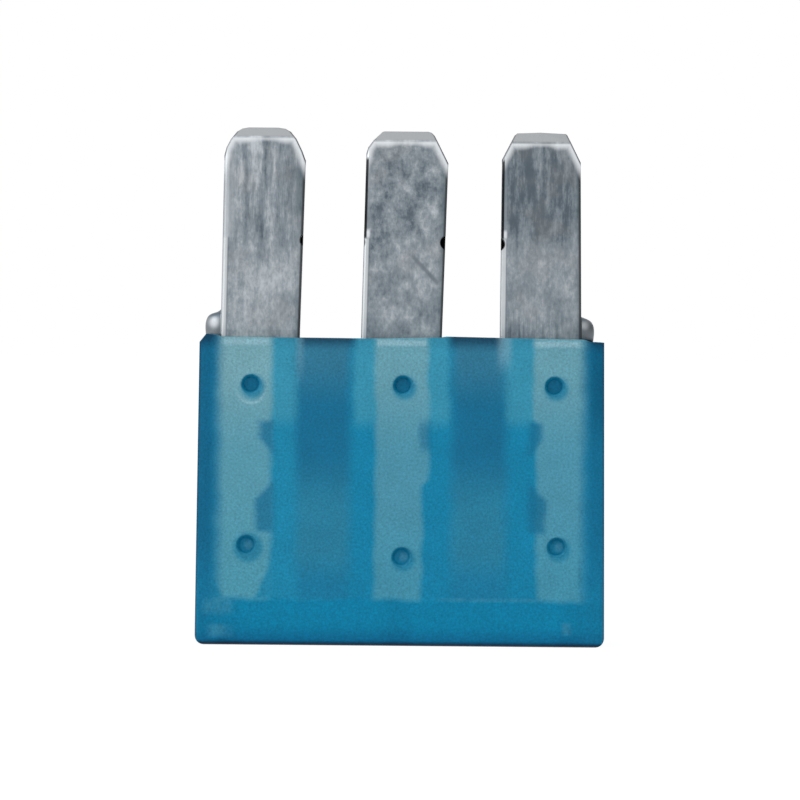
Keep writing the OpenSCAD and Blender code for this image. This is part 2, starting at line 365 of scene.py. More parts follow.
def solid_tones(g, p, in_cavity, over_blade):
    """The solid head, the plastic beside the bars, and that over the blades' full width, which
    the metal behind it lights up."""
    head = g.mix(g.rise(p.z, *HEAD_BRIGHTENS), HEAD_LOW, HEAD_BLUE)
    left_band = g.within(p.x, -OUTER_LAND - 0.1, -CHAMBER_X, 0.3)
    band = g.mix(left_band, BAND_LOW, BAND_LOW_LEFT)
    return g.mix(over_blade, g.mix(in_cavity, head, band), BAND_OVER_METAL)


def blades_behind(g, p):
    """1 where the blades stand behind the plastic in their full width."""
    over_outer = g.within(p.wax, PITCH - BLADE_W / 2 + 0.05, OUTER_EDGE, 0.35)
    over_centre = g.rise(p.wax, BLADE_W / 2 + 0.45, BLADE_W / 2 + 0.05)
    return g.product(g.union(over_outer, over_centre), g.rise(p.wz, *SHOULDERS_START))


def with_chambers(g, p, colour, in_cavity):
    """The link chambers, darkest over the empty upper part and greyer where the links hang."""
    chamber = g.within(p.wax, CHAMBER_X - CHAMBER_HALF, CHAMBER_X + CHAMBER_HALF, 0.6)
    by_height = g.mix(g.rise(p.z, *LINKS_SHOW), CHAMBER_MID, CHAMBER_LOW)
    by_height = g.mix(g.rise(p.z, *CHAMBER_OPENS), by_height, CHAMBER_TOP)
    by_height = g.mix(g.rise(p.z, *CHAMBER_ENDS), by_height, CHAMBER_FOOT)
    return g.mix(g.product(chamber, in_cavity), colour, by_height)


def ribs(g, p):
    """1 on the ribs that touch the bars."""
    soft = 0.15
    outer = g.product(g.rise(p.wax, OUTER_LAND - 0.17, OUTER_LAND + 0.17),
                      g.rise(p.wax, SLOT_END + 0.3, SLOT_END - 0.3))
    right_start = g.level(g.rise(p.z, *RIGHT_STRIP_WIDENS), 0.0, 1.0,
                          OUTER_LAND + 0.2, OUTER_LAND + 0.06)
    on_right = g.rise(g.math("SUBTRACT", p.wx, right_start), -soft, soft)
    outer = g.product(outer, g.union(p.left, on_right))
    centre_end = g.level(g.rise(p.z, *CENTRE_STRIP_WIDENS), 0.0, 1.0,
                         CENTRE_LAND - 0.15, CENTRE_LAND + 0.05)
    centre = g.product(g.rise(p.wx, -CENTRE_LAND - soft, -CENTRE_LAND + soft),
                       g.rise(g.math("SUBTRACT", p.wx, centre_end), soft, -soft))
    return g.union(outer, centre)


def strip_tone(g, p):
    """The ribs' colour, palest near the mouth and on the left."""
    tone = g.mix(g.rise(p.z, *STRIP_BRIGHTENS), STRIP_LOW, STRIP_MID)
    tone = g.mix(g.rise(p.z, *STRIP_OPENS), tone, STRIP_TOP)
    return g.mix(g.rise(p.x, -3.0, -4.0), tone, STRIP_LEFT_GAIN, "MULTIPLY")


def with_cut_outs(g, p, colour):
    """The bars' heat notches and the left foot's cut corners, which show as shadows in the ribs."""
    soft = 0.18
    upper_reach = g.math("SUBTRACT", g.level(p.wz, UPPER_NOTCH[0], 7.3, 4.5, 4.98), p.wax)
    lower_reach = g.math("SUBTRACT", g.level(p.wz, 5.1, 5.8, 5.1, 4.5), p.wax)
    outer = g.union(g.product(g.rise(upper_reach, -soft, soft), g.within(p.wz, *UPPER_NOTCH, 0.24)),
                    g.product(g.rise(lower_reach, -soft, soft), g.within(p.wz, *LOWER_NOTCH, 0.3)))
    outer = g.product(outer, g.rise(p.wax, OUTER_LAND - 0.3, OUTER_LAND + 0.1))
    centre = g.product(g.within(p.wx, CENTRE_LAND - 0.25, CENTRE_LAND + 0.18, 0.26),
                       g.within(p.wz, *CENTRE_NOTCH, 0.5), 0.7)
    colour = g.mix(g.product(g.union(outer, centre), 0.85), colour, NOTCH_BLUE)
    inner_cut = g.math("SUBTRACT", p.wx, g.level(p.z, HEAD_Z, 3.0, -5.12, -4.5))
    outer_cut = g.math("SUBTRACT", g.level(p.z, HEAD_Z, 2.5, -6.15, -6.65), p.wx)
    foot_cut = g.product(g.rise(g.math("MAXIMUM", inner_cut, outer_cut), -0.12, 0.12),
                         g.rise(p.z, *FOOT_IS_CUT), g.rise(p.z, *CAVITY_STARTS),
                         g.within(p.x, -SLOT_END - 0.2, -OUTER_LAND + 0.1, 0.3), 0.9)
    return g.mix(foot_cut, colour, BAND_LOW_LEFT)


def with_walls(g, p, colour):
    """The side walls, seen edge on through their whole depth."""
    wall = g.rise(p.wax, SLOT_END - 0.4, SLOT_END + 0.36)
    fade = g.level(p.z, *WALL_SHOWS, 0.4, 1.0)
    right = g.mix(g.rise(p.z, *WALL_DARKENS), WALL_RIGHT, WALL_RIGHT_TOP)
    return g.mix(g.product(wall, fade), colour, g.mix(p.left, right, WALL_LEFT))


def with_stakes(g, p, colour):
    """A soft ring where each bar's hole starts, the dimple in it with painted shade on the upper
    left of its wall, and a crescent of light.
    """
    halo = 0.0
    hole = 0.0
    shaded = 0.0
    gleam = 0.0
    for index, (x, z) in enumerate(STAKES):
        wide = 0.1 if index == WIDE_HALO_STAKE else 0.0
        halo = g.union(halo, g.disc(p.x, p.z, (x + 0.06, z - 0.08), 0.42 + wide, 0.24))
        hole = g.union(hole, g.disc(p.x, p.z, (x, z), 0.4, 0.02))
        shaded = g.union(shaded, g.disc(p.x, p.z, (x - 0.04, z + 0.04), 0.33, 0.1))
        gleam = g.union(gleam, g.disc(p.x, p.z, (x + 0.07, z), 0.14, 0.16))
    colour = g.mix(g.product(halo, 0.85), colour, HALO_BLUE)
    depth = g.math("SUBTRACT", FACE_Y, g.math("ABSOLUTE", p.y))
    low_floor = g.mix(g.product(gleam, 0.7), LOW_DIMPLE_FLOOR, LOW_DIMPLE_GLEAM)
    floor = g.mix(g.rise(p.z, RIM_Z / 2, RIM_Z / 2 + 0.1), low_floor, DIMPLE_FLOOR)
    lining = g.mix(g.rise(depth, DIMPLE_DEPTH - 0.05, DIMPLE_DEPTH - 0.01),
                   g.mix(shaded, DIMPLE_LIT, SHADED_DIMPLE_WALL), floor)
    colour = g.mix(g.product(hole, g.rise(depth, 0.03, 0.1)), colour, lining)
    x, z = STAKES[0]
    below = g.disc(p.x, p.z, (x, z - 0.2), 0.5, 0.12)
    above = g.disc(p.x, p.z, (x, z - 0.1), 0.52, 0.12)
    return g.mix(g.product(below, g.outside(above), 0.8), colour, RIM_LIGHT)


def with_mouth_light(g, p, colour, rib, over_blade):
    """Shadow in the mouth, and light that gets in over the ribs and down the chambers' corners."""
    open_mouth = g.product(g.outside(rib), g.outside(g.product(over_blade, 0.8)))
    mouth = g.product(g.rise(p.z, *MOUTH_DARKENS), open_mouth, 0.8)
    colour = g.mix(mouth, colour, EDGE_NAVY)
    over_ribs = g.union(g.within(p.ax, OUTER_LAND + 0.1, SLOT_END - 0.2, 0.3),
                        g.within(p.ax, -1.0, CENTRE_LAND - 0.04, 0.1))
    lit_rim = g.product(g.within(p.z, RIM_Z - 0.2, RIM_Z, 0.12), over_ribs)
    right_shaft = g.product(g.within(p.x, 3.38, 3.84, 0.3),
                            g.rise(p.z, RIM_Z - 1.3, RIM_Z - 0.3))
    left_shaft = g.product(g.within(p.x, -3.7, -3.45, 0.25),
                           g.rise(p.z, RIM_Z - 1.8, RIM_Z - 0.4), 0.6)
    shafts = g.product(g.union(right_shaft, left_shaft), 0.4)
    return g.mix(g.product(g.union(lit_rim, shafts), 0.85), colour, RIM_LIGHT)


def with_marks(g, p, colour):
    """Faint pale marks of the cavity's floor and of the test windows, and painted shade along the
    bottom edge and the side edges.
    """
    broken = g.level(g.noise(p.mm, 2.2, 3.0, 0.6), 0.35, 0.65, 0.1, 0.6)
    marks = g.product(g.within(p.z, HEAD_Z - 0.02, HEAD_Z + 0.1, 0.1),
                      g.within(p.x, 1.4, 4.8, 0.8))
    for x0, x1, soft_x, z0, z1, soft_z in PALE_MARKS:
        marks = g.union(marks, g.product(g.within(p.x, x0, x1, soft_x),
                                         g.within(p.z, z0, z1, soft_z)))
    colour = g.mix(g.product(marks, broken), colour, PALE_MARK)
    # Painted shade: a dark line along the bottom edge and beside the side edges of the faces
    half_width = g.level(p.z, HEAD_Z, RIM_Z, HALF_W, HALF_W - SIDE_DRAUGHT)
    side_shade = g.product(g.rise(g.math("SUBTRACT", half_width, p.ax), 0.09, 0.02),
                          g.rise(g.math("ABSOLUTE", p.y), FACE_Y - 0.3, FACE_Y - 0.1), 0.6)
    return g.mix(g.union(g.rise(p.z, *HEAD_EDGE_SHADE), side_shade), colour, EDGE_NAVY)


def housing_colour(g, mm, xyz):
    """The moulding's colour, by what lies behind its faces: ribs on the bars, solid plastic
    beside them, the link chambers, the side walls and the solid head."""
    p = housing_point(g, mm, xyz)
    in_cavity = g.rise(p.wz, *CAVITY_STARTS)
    over_blade = blades_behind(g, p)
    rib = g.product(ribs(g, p), in_cavity)
    colour = solid_tones(g, p, in_cavity, over_blade)
    colour = with_chambers(g, p, colour, in_cavity)
    colour = g.mix(rib, colour, strip_tone(g, p))
    colour = with_cut_outs(g, p, colour)
    colour = with_walls(g, p, colour)
    colour = with_stakes(g, p, colour)
    colour = with_mouth_light(g, p, colour, rib, over_blade)
    return with_marks(g, p, colour)


def plastic_material():
    """Blue polyamide with a fine satin grain, seen partly through."""
    material, g, mm, xyz = new_material("blue_polyamide")
    colour = housing_colour(g, mm, xyz)
    grain = g.noise(mm, 12.5, 2.0, 0.75)
    patches = g.noise(mm, 1.1, 3.0, 0.6)
    tone = g.product(g.level(grain, 0.25, 0.75, 0.72, 1.28), g.level(patches, 0.3, 0.7, 0.95, 1.05))
    colour = g.scale_colour(colour, tone)
    bump = g.add("ShaderNodeBump", {"Height": grain, "Strength": 0.06, "Distance": 0.02 * MM})
    shader = g.add("ShaderNodeBsdfPrincipled", {
        "Base Color": colour, "Roughness": 0.35, "IOR": 1.3, "Transmission Weight": 0.3,
        "Specular IOR Level": 0.12, "Normal": bump.outputs[0],
    })
    finish_material(g, shader)
    return material


# The metal's colours
METAL_DARK = linear(86, 97, 106)
METAL_MID = linear(132, 141, 148)
METAL_LIGHT = linear(184, 190, 195)
METAL_WARM = linear(158, 155, 152)
BEVEL_GREY = linear(156, 159, 161)
# A painted highlight on the rolled left edges
ROLLED_HIGHLIGHT = linear(204, 208, 211)
# A painted highlight, for the tips' bands, the left edges' glint and the ears
PAINTED_HIGHLIGHT = linear(226, 230, 234)
# Painted shade along the blades' right edges
RIGHT_EDGE_SHADE = linear(72, 88, 97)
EAR_GREY = linear(118, 125, 130)
# Painted shade, as a dark line along the right edges and the tips' corners
SHADE_LINE = linear(58, 60, 62)
# Black for the scars and sheared edges: dark broken metal, with painted shade
SCAR_AND_SHADE_BLACK = linear(6, 7, 8)
SCRATCH = linear(100, 108, 116)
SCRATCH_ENDS = ((0.313, 13.758), (1.281, 12.731))

# Heights in millimetres at which the metal's marks, its painted shade and its painted highlights
# start and end on the blades of this fuse
WIDE_SHADE_STARTS = (14.6, 15.4)
WIDE_SHADE_ENDS = (17.3, 16.5)
WIDE_SHADE_WIDTHS = (0.66, 0.46, 0.26)
GLINT = (14.36, 14.64)
ABOVE_SCARS = (NICK_Z + 0.08, NICK_Z + 0.2)
DARK_STREAKS_START = (RIM_Z + 1.3, RIM_Z + 0.2)
CORNERS_START = (TIP_Z - 1.3, TIP_Z - 1.1)

# The lights on the ears: middle, radius and softness
EAR_LIGHTS = (((-6.66, RIM_Z + 0.56), 0.17, 0.22), ((6.48, RIM_Z + 0.56), 0.12, 0.18))

# A distance inside a blade's corner that is greater than any on it
FAR_INSIDE = 9.0

# A point of the metal: its coordinates, the size of x, 1 past the first gap between the blades
# and past the second, and how far it lies inside its blade's left and right edge, below the
# tip, and inside the slopes of the nearer corner
MetalPoint = namedtuple("MetalPoint",
                        "mm x y z ax past_first past_second in_left in_right down corner")


def edge_x(edge, z):
    """Where one of a blade's leaning edges is at a height."""
    return edge[0] + (edge[1] - edge[0]) * (z - RIM_Z) / (TIP_Z - RIM_Z)


def scar_place(blade, side, deep, height):
    """x and z of the middle of the round scar that a tie bar left on one side of a blade."""
    edge = edge_x(blade.right if side > 0 else blade.left, height)
    return edge + side * (SCAR_R - deep), height


def pick(g, past_first, past_second, first, second, third):
    """The value that belongs to the blade which the point is on."""
    two = g.math("ADD", first, g.product(past_first, g.math("SUBTRACT", second, first)))
    return g.math("ADD", two, g.product(past_second, g.math("SUBTRACT", third, two)))


def corner_distance(g, across, down, corner):
    """How far a point lies inside the sloping lines of a blade's corner."""
    result = FAR_INSIDE
    for (a, b), (c, d) in zip(corner, corner[1:]):
        if b > BEVEL_H:
            length = math.hypot(c - a, b - d)
            along_x = g.product(g.math("SUBTRACT", across, a), (b - d) / length)
            along_z = g.product(g.math("SUBTRACT", down, b), (c - a) / length)
            result = g.math("MINIMUM", g.math("ADD", along_x, along_z), result)
    return result


def metal_point(g, mm, xyz):
    x, y, z = xyz
    past = (g.rise(x, -2.5, -2.4), g.rise(x, 2.4, 2.5))
    in_left = pick(g, *past, *(g.math("SUBTRACT", x, g.level(z, RIM_Z, TIP_Z, *b.left))
                               for b in BLADES))
    in_right = pick(g, *past, *(g.math("SUBTRACT", g.level(z, RIM_Z, TIP_Z, *b.right), x)
                                for b in BLADES))
    down = g.math("SUBTRACT", pick(g, *past, *(b.tip for b in BLADES)), z)
    at_left = (corner_distance(g, in_left, down, b.left_corner) for b in BLADES)
    at_right = (corner_distance(g, in_right, down, b.right_corner) for b in BLADES)
    corner = g.math("MINIMUM", pick(g, *past, *at_left), pick(g, *past, *at_right))
    return MetalPoint(mm, x, y, z, g.math("ABSOLUTE", x), *past, in_left, in_right, down, corner)


def rolling_marks(g, p):
    """The surface's pattern, for its colour and fine relief: strongest above the tie bars' scars
    and calmer below, with streaks on the outer blades and clouds on the centre one. Painted shade
    dims the centre and right blades above the scars, and below them each blade is painted a little
    lighter or darker, for how brightly it reflects."""
    past = (p.past_first, p.past_second)
    streaks = g.noise(g.stretch(p.mm, (3.0, 1.0, 0.42), (0.4, 0.0, 0.9)), 1.0, 4.0, 0.66)
    clouds = g.noise(g.stretch(p.mm, (1.0, 1.0, 0.8), (3.1, 0.0, 1.7)), 1.25, 6.0, 0.68)
    fine = g.noise(g.stretch(p.mm, (1.0, 1.0, 0.5)), 7.5, 3.0, 0.7)
    tilted = g.math("SUBTRACT", p.z, g.product(pick(g, *past, 0.0, 0.55, 0.1), p.x))
    upper = g.rise(tilted, NICK_Z - 1.1, NICK_Z + 0.6)
    streaky = g.product(g.rise(p.ax, 2.2, 2.6), g.level(upper, 0.0, 1.0, 0.35, 0.7))
    pattern = g.math("ADD", g.product(streaks, streaky), g.product(clouds, g.outside(streaky)))
    pattern = g.product(g.math("SUBTRACT", pattern, 0.5), g.level(upper, 0.0, 1.0, 0.7, 1.1))
    pattern = g.math("ADD", pattern, g.level(fine, 0.2, 0.8, 0.4, 0.6))
    # Painted shade: the centre and right blades darker above the scars
    painted_shade_above = g.math("ADD", g.level(p.x, -5.0, 0.0, 0.0, 0.065),
                    g.product(g.level(p.x, 3.4, 6.3, 0.13, 0.0), p.past_second))
    pattern = g.math("SUBTRACT", pattern, g.product(painted_shade_above, upper))
    # Painted light and shade: each blade a little lighter or darker below the scars
    painted_light_and_shade = pick(g, *past, 0.06, -0.02, 0.01)
    return g.math("ADD", pattern, g.product(painted_light_and_shade, g.outside(upper)))


def rolled_metal(g, p, pattern):
    """The flat faces' colour, with darker streaks near the rim on the right blade."""
    colour = g.mix(g.rise(pattern, 0.28, 0.52), METAL_DARK, METAL_MID)
    colour = g.mix(g.rise(pattern, 0.46, 0.72), colour, METAL_LIGHT)
    warm = g.rise(g.noise(p.mm, 0.9, 4.0), 0.5, 0.68)
    colour = g.mix(g.product(warm, 0.15), colour, METAL_WARM)
    dark_streaks = g.noise(g.stretch(p.mm, (9.0, 1.0, 0.5), (2.0, 0.0, 0.3)), 1.0, 3.0, 0.6)
    dark_streaks = g.product(g.rise(dark_streaks, 0.45, 0.65), g.rise(p.z, *DARK_STREAKS_START), p.past_second)
    return g.mix(g.product(dark_streaks, 0.6), colour, METAL_DARK)


def with_right_edges(g, p, colour, straight):
    """Painted shade along the sheared right edges, over a wider band above the scars, and a dark
    painted line at each edge.
    """
    width = pick(g, p.past_first, p.past_second, *WIDE_SHADE_WIDTHS)
    heights = g.product(g.rise(p.z, *WIDE_SHADE_STARTS), g.rise(p.z, *WIDE_SHADE_ENDS))
    wide = g.product(g.rise(p.in_right, width, 0.02), heights, 0.8)
    narrow = g.product(g.rise(p.in_right, 0.3, 0.0), 0.6)
    colour = g.mix(g.product(g.union(wide, narrow), straight), colour, RIGHT_EDGE_SHADE)
    return g.mix(g.product(g.rise(p.in_right, 0.1, 0.06), straight, 0.85), colour, SHADE_LINE)


def with_left_edges(g, p, colour, straight, sheared, above_scar):
    """The rolled left edges catch the light as painted highlights, but the two that were sheared
    above the scars don't; painted shade darkens the outermost edge and, below the scars, the crease."""
    rolled = g.product(g.within(p.in_left, -0.04, 0.19, 0.05), straight)
    # Painted highlights on the rolled left edges
    soft_roll_highlight = g.product(g.rise(p.in_left, 0.6, 0.08), straight, above_scar,
                          g.outside(p.past_first))
    colour = g.mix(g.product(soft_roll_highlight, 0.5), colour, METAL_LIGHT)
    sharp_roll_highlight = g.product(rolled, g.outside(sheared), g.level(above_scar, 0.0, 1.0, 0.8, 0.35))
    colour = g.mix(sharp_roll_highlight, colour, ROLLED_HIGHLIGHT)
    # Painted shade in the crease below the scars and along the outermost edge
    crease_shade = g.product(g.within(p.in_left, 0.17, 0.22, 0.04), straight, g.outside(above_scar),
                       0.45)
    outermost_shade = g.product(g.rise(p.in_left, 0.05, 0.01), straight, 0.5)
    colour = g.mix(g.union(crease_shade, outermost_shade), colour, METAL_DARK)
    colour = g.mix(g.product(rolled, sheared, 0.6), colour, METAL_MID)
    glint = g.product(g.within(p.in_left, 0.06, 0.2, 0.08), g.within(p.z, *GLINT, 0.16),
                      p.past_first)
    return g.mix(g.product(glint, 0.8), colour, PAINTED_HIGHLIGHT)


def with_tips(g, p, colour):
    """The coined bevel, a soft painted highlight beside it and along the corners, and a line of
    painted shade along the corners' outline.
    """
    bevel = g.rise(p.down, BEVEL_H + 0.05, BEVEL_H - 0.07)
    inside = g.math("MINIMUM", p.corner, g.math("SUBTRACT", p.down, BEVEL_H))
    near_corner = g.rise(g.math("MINIMUM", p.in_left, p.in_right), 1.2, 0.75)
    fade = g.level(near_corner, 0.0, 1.0, 0.21, 0.33)
    # A painted highlight band inside the bevel's lower end and the corners
    band = g.product(g.rise(inside, fade, 0.05), g.rise(inside, -0.02, 0.08),
                     g.level(near_corner, 0.0, 1.0, 0.6, 0.9))
    colour = g.mix(band, colour, PAINTED_HIGHLIGHT)
    colour = g.mix(bevel, colour, BEVEL_GREY)
    # A dark line of painted shade along the corners' outline
    outline = g.product(g.rise(p.corner, 0.06, 0.02), g.rise(p.z, *CORNERS_START), 0.6)
    return g.mix(outline, colour, SHADE_LINE)


def with_scars(g, p, colour, broken_edge_and_shade):
    """The tie bars' scars and the sheared front edges above them in black: dark broken metal,
    deepened by painted shade.
    """
    scar = 0.0
    for blade in BLADES:
        for side, deep, height in blade.scars:
            disc = g.disc(p.x, p.z, scar_place(blade, side, deep, height), SCAR_R + 0.02, 0.04)
            disc = g.product(disc, min(1.0, deep / 0.1))
            scar = g.union(scar, g.product(disc, g.rise(p.y, 0.3, 0.15)))
    return g.mix(g.union(g.product(broken_edge_and_shade, 0.95), scar), colour, SCAR_AND_SHADE_BLACK)


def with_scratch(g, p, colour):
    """One long scratch across the centre blade."""
    (x0, z0), (x1, z1) = SCRATCH_ENDS
    length = math.hypot(x1 - x0, z1 - z0)
    dx = g.math("SUBTRACT", p.x, x0)
    dz = g.math("SUBTRACT", p.z, z0)
    along = g.math("ADD", g.product(dx, (x1 - x0) / length), g.product(dz, (z1 - z0) / length))
    across = g.math("ADD", g.product(dx, (z0 - z1) / length), g.product(dz, (x1 - x0) / length))
    scratch = g.product(g.within(along, 0.0, length, 0.2),
                        g.rise(g.math("ABSOLUTE", across), 0.12, 0.02),
                        g.rise(p.y, 0.0, -0.2), 0.7)
    return g.mix(scratch, colour, SCRATCH)


def with_ears(g, p, colour):
    """The stop ears: painted shade at the foot and at the root, with a soft painted highlight on
    the shoulder.
    """
    ear = g.union(g.rise(p.in_left, -0.01, -0.03), g.rise(p.in_right, -0.01, -0.03))
    ear = g.product(ear, g.rise(p.z, RIM_Z, RIM_Z + 0.1), g.rise(p.ax, 6.2, 6.3))
    shade = g.mix(g.within(p.z, RIM_Z + 0.1, RIM_Z + 0.76, 0.16), METAL_DARK, EAR_GREY)
    light = g.union(*(g.disc(p.x, p.z, *spot) for spot in EAR_LIGHTS))
    return g.mix(ear, colour, g.mix(g.product(light, 0.4), shade, PAINTED_HIGHLIGHT))


def metal_colour(g, mm, xyz):
    """Rolling streaks on the outer blades, clouds on the centre one, coined bright tips."""
    p = metal_point(g, mm, xyz)
    pattern = rolling_marks(g, p)
    straight = g.product(g.rise(p.z, RIM_Z - 0.02, RIM_Z), g.rise(p.down, 0.85, 1.05))
    above_scar = g.rise(p.z, *ABOVE_SCARS)
    sheared = g.product(p.past_first, above_scar)
    # The sheared front edges above the scars: dark broken metal with painted shade
    broken_edge_and_shade = g.product(g.within(p.in_left, -0.04, 0.095, 0.03), straight, sheared,
                           g.rise(p.y, -0.22, -0.28))
    colour = rolled_metal(g, p, pattern)
    colour = with_right_edges(g, p, colour, straight)
    colour = with_left_edges(g, p, colour, straight, sheared, above_scar)
    colour = with_tips(g, p, colour)
    colour = with_scars(g, p, colour, broken_edge_and_shade)
    colour = with_scratch(g, p, colour)
    return with_ears(g, p, colour), pattern


def metal_material():
    """Bright zinc strip: clean enough to shine, dull enough to show its rolling marks."""
    material, g, mm, xyz = new_material("bright_zinc")
    colour, pattern = metal_colour(g, mm, xyz)
    bump = g.add("ShaderNodeBump", {"Height": pattern, "Strength": 0.12, "Distance": 0.05 * MM})
    shader = g.add("ShaderNodeBsdfPrincipled", {
        "Base Color": colour, "Metallic": 1.0, "Roughness": 0.4, "Normal": bump.outputs[0],
    })
    finish_material(g, shader)
    return material


def edge_weights(work, choose):
    """Give each edge of a bmesh the share of the bevel's width that choose says."""
    weight = work.edges.layers.float.new("bevel_weight_edge")
    for edge in work.edges:
        edge[weight] = choose([v.co / MM for v in edge.verts])


def round_edges(piece, width, segments=3):
    rounding = piece.modifiers.new("edges", "BEVEL")
    rounding.width = width
    rounding.segments = segments
    rounding.limit_method = "WEIGHT"
    rounding.harden_normals = True


def copy_of_mesh(name):
    """A bmesh of a CAD node with its flat faces whole."""
    work = bmesh.new()
    work.from_mesh(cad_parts[name].data)
    bmesh.ops.remove_doubles(work, verts=work.verts, dist=SAME_POINT * MM)
    bmesh.ops.dissolve_limit(work, angle_limit=FLAT_ANGLE, verts=work.verts,
                             edges=work.edges)
    bmesh.ops.dissolve_degenerate(work, dist=SLIVER * MM, edges=work.edges)
    return work


def piece_from(work, name):
    """A new scene object from a bmesh, smooth except where its faces meet at a sharp angle."""
    for face in work.faces:
        face.smooth = True
    for edge in work.edges:
        edge.smooth = len(edge.link_faces) != 2 or edge.calc_face_angle() < SHARP_ANGLE
    mesh = bpy.data.meshes.new(name)
    work.to_mesh(mesh)
    work.free()
    piece = bpy.data.objects.new(name, mesh)
    bpy.context.scene.collection.objects.link(piece)
    return piece


def rim_wear(x):
    """How far the worn rim stands above its drawn height at one place along it."""
    for (x0, up0), (x1, up1) in zip(RIM_WEAR, RIM_WEAR[1:]):
        if x <= x1:
            return up0 + (up1 - up0) * max(0.0, (x - x0) / (x1 - x0))
    return RIM_WEAR[-1][1]


def make_housing():
    """The CAD's housing with its rim softened and worn, and its dimples where this fuse has them."""
    work = copy_of_mesh("housing")
    for x, _ in RIM_WEAR[1:-1]:
        geometry = list(work.verts) + list(work.edges) + list(work.faces)
        bmesh.ops.bisect_plane(work, geom=geometry, plane_co=(x * MM, 0, 0), plane_no=(1, 0, 0))
    for vert in work.verts:
        if vert.co.z > (RIM_Z - TOUCHING) * MM:
            vert.co.z += rim_wear(vert.co.x / MM) * MM
    for (old_x, old_z), (new_x, new_z) in zip(CAD_STAKES, STAKES):
        near = [vert for vert in work.verts
                if math.hypot(vert.co.x / MM - old_x, vert.co.z / MM - old_z) < DIMPLE_REACH]
        face_y = max(abs(vert.co.y) / MM for vert in near)
        for vert in near:
            share = (face_y - abs(vert.co.y) / MM) / CAD_DIMPLE_DEPTH
            taper = 1.0
            if 0.01 < share < 1.05:
                vert.co.y = math.copysign((face_y - share * DIMPLE_DEPTH) * MM, vert.co.y)
                taper = 1.0 - share * (1.0 - DIMPLE_TAPER)
            vert.co.x = (new_x + (vert.co.x / MM - old_x) * taper) * MM
            vert.co.z = (new_z + (vert.co.z / MM - old_z) * taper) * MM
    edge_weights(work, lambda ends: float(all(
        v.z > RIM_Z + rim_wear(v.x) - TOUCHING
        and (abs(v.x) > ROUNDED_RIM_X or abs(v.y) > ROUNDED_RIM_Y) for v in ends)))
    piece = piece_from(work, "blue_housing")
    round_edges(piece, RIM_ROUNDING * MM)
    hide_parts("housing")
    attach(piece, "root")
    return piece


def with_bevel_start(corner):
    """A corner's outline, with a point more where it passes the lower end of the coined bevel."""
    points = [corner[0]]
    for (a, b), (c, d) in zip(corner, corner[1:]):
        if b > BEVEL_H > d:
            points.append((a + (c - a) * (b - BEVEL_H) / (b - d), BEVEL_H))
        points.append((c, d))
    return points


def make_blade(blade):
    """One blade from below the rim up to its coined tip, its edges rolled over or sheared."""
    low = RIM_Z - BLADE_FOOT
    work = bmesh.new()
    for edge, side, corner in ((blade.left, 1, blade.left_corner),
                               (blade.right, -1, blade.right_corner)):
        outline = [(0.0, blade.tip - low)] + with_bevel_start(corner)
        for across, down in outline:
            z = blade.tip - down
            share = min(1.0, max(0.0, down / BEVEL_H))
            half = TIP_HALF_T + (BLADE_T / 2 - TIP_HALF_T) * share
            for y in (-half, half):
                work.verts.new(Vector((edge_x(edge, z) + side * across, y, z)) * MM)
    hull = bmesh.ops.convex_hull(work, input=work.verts)
    spare = set(hull["geom_interior"]) | set(hull["geom_unused"])
    bmesh.ops.delete(work, geom=[v for v in spare if isinstance(v, bmesh.types.BMVert)],
                     context="VERTS")
    bmesh.ops.dissolve_limit(work, angle_limit=FLAT_ANGLE, verts=work.verts,
                             edges=work.edges)
    middle = (blade.left[0] + blade.right[0]) / 2

    def choose(ends):
        a, b = ends
        if max(a.z, b.z) < low + TOUCHING or abs(a.y + b.y) < ACROSS:
            return 0.0
        if min(a.z, b.z) < low + TOUCHING:
            return ROLLED_SHARE if a.x < middle else SHEARED_SHARE
        return TIP_SHARE

    edge_weights(work, choose)
    piece = piece_from(work, "blade")
    round_edges(piece, BLADE_ROUNDING * MM, 4)
    return piece


def cut_scars(piece, blade):
    """Take the tie bars' scars out of a blade's front edges."""
    cutters = []
    for side, deep, height in blade.scars:
        x, z = scar_place(blade, side, deep, height)
        bpy.ops.mesh.primitive_cylinder_add(
            vertices=SCAR_POINTS, radius=SCAR_R * MM, depth=SCAR_LENGTH * MM,
            location=Vector((x, SCAR_Y, z)) * MM, rotation=(math.radians(90), 0, 0))
        cutters.append(bpy.context.object)
        scar = piece.modifiers.new("scar", "BOOLEAN")
        scar.object = cutters[-1]
        scar.operation = "DIFFERENCE"
        scar.solver = "EXACT"
    return cutters


def make_ear(edge, side, outline):
    """A stop ear: a lump of metal squeezed out beside the outer edge of an outer blade."""
    turns = [math.tau * k / EAR_POINTS for k in range(EAR_POINTS)]
    widest = max(out for out, _ in outline)
    work = bmesh.new()
    previous = None
    for out, up in outline:
        z = RIM_Z + up
        half = EAR_HALF_T * math.sqrt(out / widest)
        ring = [work.verts.new(Vector((edge_x(edge, z) + side * out * math.cos(turn),
                                       half * math.sin(turn), z)) * MM) for turn in turns]
        if previous:
            for k in range(EAR_POINTS):
                work.faces.new((previous[k], previous[k - 1], ring[k - 1], ring[k]))
        else:
            work.faces.new(ring)
        previous = ring
    work.faces.new(previous)
    bmesh.ops.recalc_face_normals(work, faces=work.faces)
    ear = piece_from(work, "ear")
    smooth = ear.modifiers.new("smooth", "SUBSURF")
    smooth.levels = 1
    smooth.render_levels = 1
    return ear


